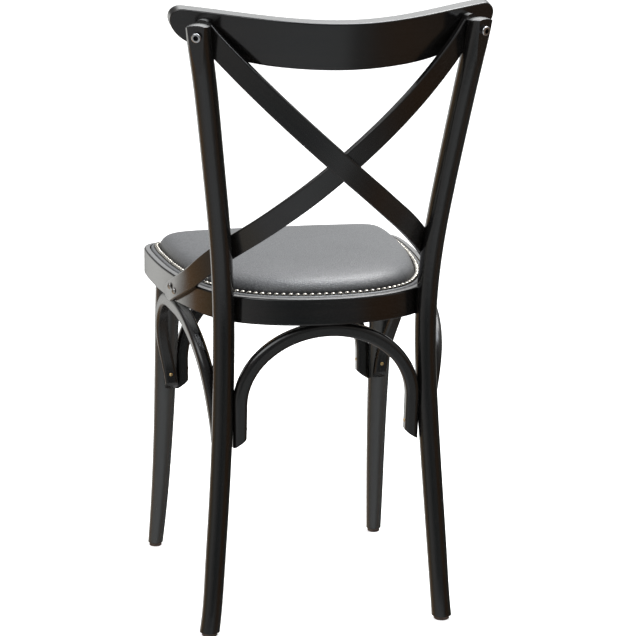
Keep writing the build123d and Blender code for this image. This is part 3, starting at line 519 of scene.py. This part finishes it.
def swollen_pad():
    """A closed pad on the panel, blown up as cloth against its pinned border; gives a height reader."""
    step = 4
    sel = slice(0, COLS, step)
    ds = [0.0045, 0.006, 0.009, 0.013, 0.018, 0.025, 0.034, 0.045, 0.06, 0.08, 0.10, 0.12, 0.14, 0.155]
    rings = [(inside(d)[sel], PANEL_Z + 0.0004) for d in (0.155, 0.12, 0.06, 0.02, 0.0045)]
    rings += [(inside(d)[sel], PANEL_Z + BAND + (crown(d) - BAND) * 0.95) for d in ds]
    verts, faces = lay(rings)
    n = COLS // step
    low, high = len(verts), len(verts) + 1
    verts += [(MID[0], MID[1], PANEL_Z + 0.0004), (MID[0], MID[1], PANEL_Z + BAND + (crown(0.17) - BAND) * 0.95)]
    last = (len(rings) - 1) * n
    for k in range(n):
        faces.append((low, (k + 1) % n, k))
        faces.append((last + k, last + (k + 1) % n, high))
    o = made("pad_start", verts, faces)
    bm = bmesh.new()
    bm.from_mesh(o.data)
    bmesh.ops.recalc_face_normals(bm, faces=bm.faces)
    bm.to_mesh(o.data)
    bm.free()
    bpy.context.view_layer.objects.active = o
    o.select_set(True)
    re = o.modifiers.new("re", "REMESH")
    re.mode = "VOXEL"
    re.voxel_size = 0.005
    bpy.ops.object.modifier_apply(modifier="re")
    start = coords_of(o)
    pin = o.vertex_groups.new(name="pin")
    pin.add([i for i, c in enumerate(start) if c[2] < PANEL_Z + BAND + 0.0015], 1.0, "REPLACE")
    cloth = o.modifiers.new("cloth", "CLOTH")
    cs = cloth.settings
    cs.quality = 6
    cs.mass = 0.35
    cs.tension_stiffness = cs.compression_stiffness = 60
    cs.shear_stiffness = 40
    cs.bending_stiffness = 8.0
    cs.use_pressure = True
    cs.uniform_pressure_force = 1.0
    cs.vertex_group_mass = "pin"
    cs.effector_weights.gravity = 0
    cloth.collision_settings.use_collision = False
    for f in range(1, 21):
        scene.frame_set(f)
    dg = bpy.context.evaluated_depsgraph_get()
    e = o.evaluated_get(dg)
    now = np.zeros(len(e.data.vertices) * 3)
    e.data.vertices.foreach_get("co", now)
    now = now.reshape(-1, 3)
    move = now - start
    far = np.linalg.norm(move, axis=1)
    move *= np.minimum(1.0, 0.006 / np.maximum(far, 1e-9))[:, None]
    o.modifiers.clear()
    scene.frame_set(1)
    o.data.vertices.foreach_set("co", (start + move).ravel())
    o.data.update()
    smooth = o.modifiers.new("ease", "SMOOTH")
    smooth.factor = 0.5
    smooth.iterations = 6
    sub = o.modifiers.new("sub", "SUBSURF")
    sub.levels = 1
    dg = bpy.context.evaluated_depsgraph_get()
    tree = BVHTree.FromObject(o, dg)
    bpy.data.objects.remove(o)
    return tree


def seat_hide(tree):
    """The one-piece cover: rolled edge, padded border under the nails, wall and crown."""
    phase = np.cos(2 * np.pi * np.arange(COLS) / PER)          # 1 at a nail, -1 between two
    rows = []
    for out, up in ((0.0082, 0.0), (0.0083, 0.0012), (0.0082, 0.0024), (0.0078, 0.0035), (0.0070, 0.0044), (0.0058, 0.00495),
                    (0.0046, 0.00500), (0.0030, 0.00440), (0.0015, 0.0038)):
        dent = 0.00022 * math.exp(-((out - 0.0035) / 0.0016) ** 2)
        rows.append((row + row_n * out, PANEL_Z + up * BAND / 0.005 - dent * phase))
    rows.append((row.copy(), np.full(COLS, PANEL_Z + BAND - 0.0014)))
    ds = [0.0022, 0.0036, 0.0044, 0.0052, 0.0061, 0.0072, 0.0086, 0.0104, 0.0126, 0.0152, 0.0183, 0.022, 0.0265, 0.032, 0.0385, 0.046,
          0.055, 0.065, 0.076, 0.088, 0.100, 0.112, 0.124, 0.136, 0.147, 0.157, 0.165, 0.171]
    heights = []
    for d in ds:
        q = inside(d)
        h = np.full(COLS, crown(d))
        if tree is not None and d > 0.0052:
            g = h.copy()
            for k in range(0, COLS, 2):
                hit = tree.ray_cast(Vector((q[k, 0], q[k, 1], 0.7)), Vector((0, 0, -1)))[0]
                if hit is not None:
                    g[k] = hit.z - PANEL_Z
            g[1::2] = 0.5 * (g[0::2] + np.roll(g[0::2], -1))
            for _ in range(60):
                g = 0.5 * g + 0.25 * (np.roll(g, 1) + np.roll(g, -1))
            # the filling holds the hide near its cut shape; the swelling shows as a part of it
            w = 0.15 * min(1.0, max(0.0, (d - 0.0052) / 0.020))
            h = (1 - w) * h + w * g
        heights.append(h)
    top = max(h.max() for h in heights)
    grow = (TOP_Z - PANEL_Z - BAND) / (top - BAND)
    for d, h in zip(ds, heights):
        h = BAND + (h - BAND) * grow
        # the hide is pulled down at each nail and rides up between two
        pull = 0.00028 * math.exp(-((d - 0.0050) / 0.0022) ** 2) + 0.00005 * math.exp(-max(0.0, d - 0.005) / 0.006)
        rows.append((inside(d), PANEL_Z + h - pull * phase))
    base = [(inside(0.155), PANEL_Z + 0.00005), (inside(0.05), PANEL_Z + 0.00005), (row + row_n * 0.0076, np.full(COLS, PANEL_Z + 0.00005))]
    rings = base + rows
    verts, faces = lay(rings)
    low, high = len(verts), len(verts) + 1
    zc = float(np.mean(rows[-1][1])) + 0.00002
    verts += [(MID[0], MID[1], PANEL_Z + 0.00005), (MID[0], MID[1], zc)]
    last = (len(rings) - 1) * COLS
    for k in range(COLS):
        faces.append((low, (k + 1) % COLS, k))
        faces.append((last + k, last + (k + 1) % COLS, high))
    o = made("seat_leather", verts, faces)
    bm = bmesh.new()
    bm.from_mesh(o.data)
    bmesh.ops.recalc_face_normals(bm, faces=bm.faces)
    for f in bm.faces:
        f.smooth = True
    bm.to_mesh(o.data)
    bm.free()
    # painted shade: how strongly each ring, from the nail row up the foot of the wall, is darkened
    shade_by_ring = [0.0] * 9 + [0.15, 0.7, 1.0, 1.0, 1.0, 1.0, 1.0, 0.85, 0.62, 0.42, 0.26, 0.14, 0.06]
    shade_by_ring += [0.0] * (len(rings) - len(shade_by_ring))
    mark = o.data.attributes.new("painted_groove_shade", "FLOAT", "POINT")
    mark.data.foreach_set("value", np.append(np.repeat(np.array(shade_by_ring, dtype=np.float32), COLS), np.zeros(2, dtype=np.float32)))
    o.data.materials.append(hide)
    return o


pad = seat_hide(swollen_pad())
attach(pad, "root")
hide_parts("seat_cover", "seat_foam")


# ---------------------------------------------------------------------------
# Domed nails, each driven by hand: small differences in tilt and height
# ---------------------------------------------------------------------------
def nail_row():
    r, h = 0.00395, 0.0031
    ball = (r * r + h * h) / (2 * h)
    full = math.asin(r / ball)
    profile = [(r * 0.93, -0.0001), (r * 0.985, 0.00015), (r, 0.0004)]
    profile += [(ball * math.sin(full * u), h - ball + ball * math.cos(full * u) + 0.0003 * u) for u in (0.9, 0.75, 0.6, 0.45, 0.3, 0.15)]
    seg = 20
    verts, faces = [], []
    for p in nails:
        c = Vector((p[0], p[1], PANEL_Z + BAND))
        lean = Matrix.Rotation(random.gauss(0, 0.045), 3, "X") @ Matrix.Rotation(random.gauss(0, 0.045), 3, "Y")
        c += Vector((random.gauss(0, 0.00018), random.gauss(0, 0.00018), random.uniform(-0.00012, 0.00018)))
        s = random.uniform(0.975, 1.02)
        base = len(verts)
        for pr, pz in profile:
            for k in range(seg):
                a = 2 * math.pi * k / seg
                verts.append(c + lean @ Vector((pr * s * math.cos(a), pr * s * math.sin(a), pz)))
        verts.append(c + lean @ Vector((0, 0, h)))
        for j in range(len(profile) - 1):
            for k in range(seg):
                k2 = (k + 1) % seg
                faces.append((base + j * seg + k, base + j * seg + k2, base + (j + 1) * seg + k2, base + (j + 1) * seg + k))
        last = base + (len(profile) - 1) * seg
        for k in range(seg):
            faces.append((last + k, last + (k + 1) % seg, len(verts) - 1))
        faces.append(tuple(base + k for k in reversed(range(seg))))
    o = made("domed_nails", verts, faces)
    # painted shade: each head is darkened all round its foot, where it meets the hide, and higher up on its front and
    # back, which narrows its highlights along x
    tone = []
    for (pr, _), edge in zip(profile, (1.0, 1.0, 0.9, 0.5, 0.15, 0.0, 0.0, 0.0, 0.0)):
        for k in range(seg):
            side = abs(math.sin(2 * math.pi * k / seg)) * pr / r
            tone.append(max(edge, 0.9 * min(1.0, max(0.0, (side - 0.42) / 0.32))))
    mark = o.data.attributes.new("painted_head_shade", "FLOAT", "POINT")
    mark.data.foreach_set("value", np.array((tone + [0.0]) * len(nails), dtype=np.float32))
    for f in o.data.polygons:
        f.use_smooth = len(f.vertices) < 10
    return o


def nickel_head():
    t = Tree("polished_nickel")
    v = t.vec(*t.xyz())
    spots = t.noise(v, 420.0, 4.0, 0.6)
    fine = t.noise(v, 2940.0, 2.0, 0.5)
    painted_head_shade = t.new("ShaderNodeAttribute", attribute_name="painted_head_shade").outputs["Fac"]
    bright = t.mix(t.ramp(spots, [(0.42, 0.0), (0.75, 0.5)]), (0.58, 0.555, 0.50), (0.20, 0.18, 0.15))
    # painted shade: where the attribute is high the head goes near black
    t.link(t.mix(painted_head_shade, bright, (0.030, 0.027, 0.024)), t.bsdf.inputs["Base Color"])
    t.link(t.remap(spots, 0.3, 0.7, 0.06, 0.11), t.bsdf.inputs["Roughness"])
    t.link(t.bump(fine, 0.3, 0.00003), t.bsdf.inputs["Normal"])
    t.set(Metallic=1.0)
    return t.mat


nickel = nickel_head()
heads = nail_row()
heads.data.materials.append(nickel)
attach(heads, "root")
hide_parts("upholstery_nails")


# ---------------------------------------------------------------------------
# Floor, light, camera
# ---------------------------------------------------------------------------
def floor():
    me = bpy.data.meshes.new("floor")
    me.from_pydata([(-60, -60, 0), (60, -60, 0), (60, 60, 0), (-60, 60, 0)], [], [(0, 1, 2, 3)])
    o = bpy.data.objects.new("floor", me)
    scene.collection.objects.link(o)
    t = Tree("pale_floor")
    v = t.vec(*t.xyz())
    t.link(t.mix(t.noise(v, 3.0, 3.0), (0.86, 0.86, 0.86), (0.89, 0.89, 0.885)), t.bsdf.inputs["Base Color"])
    t.set(Roughness=0.9, Specular_IOR_Level=0.0, Emission_Strength=0.62)
    t.bsdf.inputs["Emission Color"].default_value = (1, 1, 1, 1)
    me.materials.append(t.mat)
    o.visible_glossy = False


floor()


def world():
    w = bpy.data.worlds.new("studio")
    scene.world = w
    w.use_nodes = True
    nt = w.node_tree
    nt.nodes.clear()

    def new(kind, **props):
        n = nt.nodes.new(kind)
        for k, v in props.items():
            setattr(n, k, v)
        return n

    def m(op, a, b=0.0, clamp=False):
        n = new("ShaderNodeMath", operation=op, use_clamp=clamp)
        for s, v in zip(n.inputs, (a, b)):
            if isinstance(v, bpy.types.NodeSocket):
                nt.links.new(v, s)
            else:
                s.default_value = v
        return n.outputs[0]

    def ramp(v, stops):
        n = new("ShaderNodeValToRGB")
        el = n.color_ramp.elements
        while len(el) < len(stops):
            el.new(0.5)
        for e, (p, c) in zip(el, stops):
            e.position = p
            e.color = (*c, 1)
        nt.links.new(v, n.inputs[0])
        return n.outputs[0]

    def blend(f, a, b, kind="MIX"):
        n = new("ShaderNodeMix", data_type="RGBA", blend_type=kind)
        for s, v in zip((n.inputs[0], n.inputs[6], n.inputs[7]), (f, a, b)):
            if isinstance(v, bpy.types.NodeSocket):
                nt.links.new(v, s)
            else:
                s.default_value = v if isinstance(v, float) else (*v, 1)
        return n.outputs[2]

    tc = new("ShaderNodeTexCoord")
    sep = new("ShaderNodeSeparateXYZ")
    nt.links.new(tc.outputs["Generated"], sep.inputs[0])
    x, y, z = sep.outputs
    # round the room: 0 and 1 look along -Y, 0.25 along -X, 0.5 along +Y, 0.75 along +X
    turn = m("MULTIPLY_ADD", m("ARCTAN2", x, y), 0.5 / math.pi)
    turn.node.inputs[2].default_value = 0.5
    # just below the horizon: a white sheet towards -Y, brown furniture at the sides, a dim room towards +Y
    low = ramp(turn, [(0.0, (0.45, 0.45, 0.44)), (0.06, (0.43, 0.43, 0.42)), (0.09, (0.42, 0.42, 0.40)), (0.15, (0.12, 0.12, 0.11)), (0.21, (0.08, 0.08, 0.07)), (0.27, (0.16, 0.12, 0.09)),
                      (0.34, (0.25, 0.13, 0.055)), (0.385, (0.25, 0.14, 0.065)), (0.42, (0.24, 0.24, 0.24)), (0.49, (0.20, 0.22, 0.22)), (0.53, (0.15, 0.17, 0.18)),
                      (0.58, (0.26, 0.28, 0.28)), (0.64, (0.48, 0.47, 0.47)), (0.69, (0.60, 0.61, 0.59)), (0.76, (0.42, 0.38, 0.31)), (0.81, (0.50, 0.36, 0.20)),
                      (0.868, (0.66, 0.38, 0.19)), (0.892, (1.05, 1.01, 0.95)), (0.912, (1.92, 1.90, 1.82)), (0.945, (1.45, 1.45, 1.40)), (1.0, (0.45, 0.45, 0.44))])
    # further down: the pale floor near the chair, brown on its right
    deep = ramp(turn, [(0.0, (0.5, 0.5, 0.5)), (0.10, (0.30, 0.30, 0.30)), (0.16, (0.06, 0.06, 0.06)), (0.25, (0.22, 0.21, 0.20)), (0.32, (0.27, 0.18, 0.12)),
                       (0.38, (0.25, 0.21, 0.18)), (0.43, (0.32, 0.32, 0.31)), (0.47, (0.70, 0.73, 0.74)), (0.58, (0.76, 0.79, 0.81)), (0.66, (0.70, 0.70, 0.71)),
                       (0.72, (0.60, 0.57, 0.52)), (0.76, (0.50, 0.45, 0.38)), (0.82, (0.66, 0.42, 0.24)), (0.88, (0.62, 0.40, 0.21)), (1.0, (0.5, 0.5, 0.5))])
    # above: dim walls, and towards -Y a backdrop that is brightest half way up
    wall = ramp(turn, [(0.0, (0.26, 0.26, 0.26)), (0.06, (0.50, 0.50, 0.50)), (0.12, (0.60, 0.60, 0.60)), (0.22, (0.50, 0.48, 0.46)), (0.36, (0.42, 0.40, 0.38)), (0.50, (0.24, 0.24, 0.24)),
                       (0.64, (0.30, 0.30, 0.30)), (0.78, (0.24, 0.23, 0.22)), (0.88, (0.16, 0.16, 0.16)), (1.0, (0.26, 0.26, 0.26))])
    sheet = ramp(turn, [(0.0, (1.9, 1.9, 1.9)), (0.12, (1.6, 1.6, 1.6)), (0.20, (1.3, 1.3, 1.3)), (0.28, (1.2, 1.2, 1.2)), (0.36, (0.42, 0.40, 0.38)), (0.50, (0.26, 0.26, 0.26)),
                        (0.57, (1.2, 1.2, 1.2)), (0.63, (5.2, 5.3, 5.4)), (0.72, (5.2, 5.3, 5.4)), (0.78, (0.6, 0.6, 0.6)), (0.88, (0.9, 0.9, 0.9)), (0.95, (1.7, 1.7, 1.7)), (1.0, (1.9, 1.9, 1.9))])
    rise = m("MULTIPLY_ADD", z, 5.0, True)
    rise.node.inputs[2].default_value = -2.1
    over = m("MULTIPLY_ADD", z, -3.0, True)
    over.node.inputs[2].default_value = 2.9
    high = blend(over, (0.40, 0.40, 0.40), blend(rise, wall, sheet))
    down = m("MULTIPLY_ADD", z, -5.0, True)
    down.node.inputs[2].default_value = -1.5
    up = m("MULTIPLY_ADD", z, 4.5, True)
    up.node.inputs[2].default_value = 0.25
    room = blend(up, blend(down, low, deep), high)
    lp = new("ShaderNodeLightPath")
    seen = blend(lp.outputs["Is Camera Ray"], room, (1.0, 1.0, 1.0))
    bg = new("ShaderNodeBackground")
    nt.links.new(seen, bg.inputs["Color"])
    out = new("ShaderNodeOutputWorld")
    nt.links.new(bg.outputs[0], out.inputs["Surface"])


world()


def soft_box(name, at, to, size, power, colour=(1, 1, 1)):
    d = bpy.data.lights.new(name, "AREA")
    d.shape = "RECTANGLE"
    d.size, d.size_y = size
    d.energy = power
    d.color = colour
    o = bpy.data.objects.new(name, d)
    scene.collection.objects.link(o)
    o.location = at
    o.rotation_mode = "QUATERNION"
    o.rotation_quaternion = (Vector(to) - Vector(at)).to_track_quat("-Z", "Y")
    o.visible_camera = False


soft_box("top_box", (-0.9, -0.42, 2.45), (0.0, -0.05, 0.45), (1.3, 1.3), 50.0)
soft_box("strip_box", (-0.42, 0.42, 2.5), (-0.1, 0.12, 0.48), (0.6, 1.7), 30.0, (0.94, 0.99, 1.05))


def camera():
    d = bpy.data.cameras.new("camera")
    o = bpy.data.objects.new("camera", d)
    scene.collection.objects.link(o)
    yaw, pitch, roll = (math.radians(a) for a in (-13.11547, -13.34278, 0.32694))
    fw = Vector((math.sin(yaw) * math.cos(pitch), -math.cos(yaw) * math.cos(pitch), math.sin(pitch)))
    r = fw.cross(Vector((0, 0, 1))).normalized()
    u = r.cross(fw)
    right = math.cos(roll) * r + math.sin(roll) * u
    up = -math.sin(roll) * r + math.cos(roll) * u
    at = Vector((0.8452, 3.7241, 1.3149))
    o.matrix_world = Matrix(((right.x, up.x, -fw.x, at.x), (right.y, up.y, -fw.y, at.y), (right.z, up.z, -fw.z, at.z), (0, 0, 0, 1)))
    d.sensor_width = 36.0
    d.lens = 36.0 * 2746.914 / 636.0
    d.clip_start, d.clip_end = 0.1, 200.0
    scene.camera = o


camera()
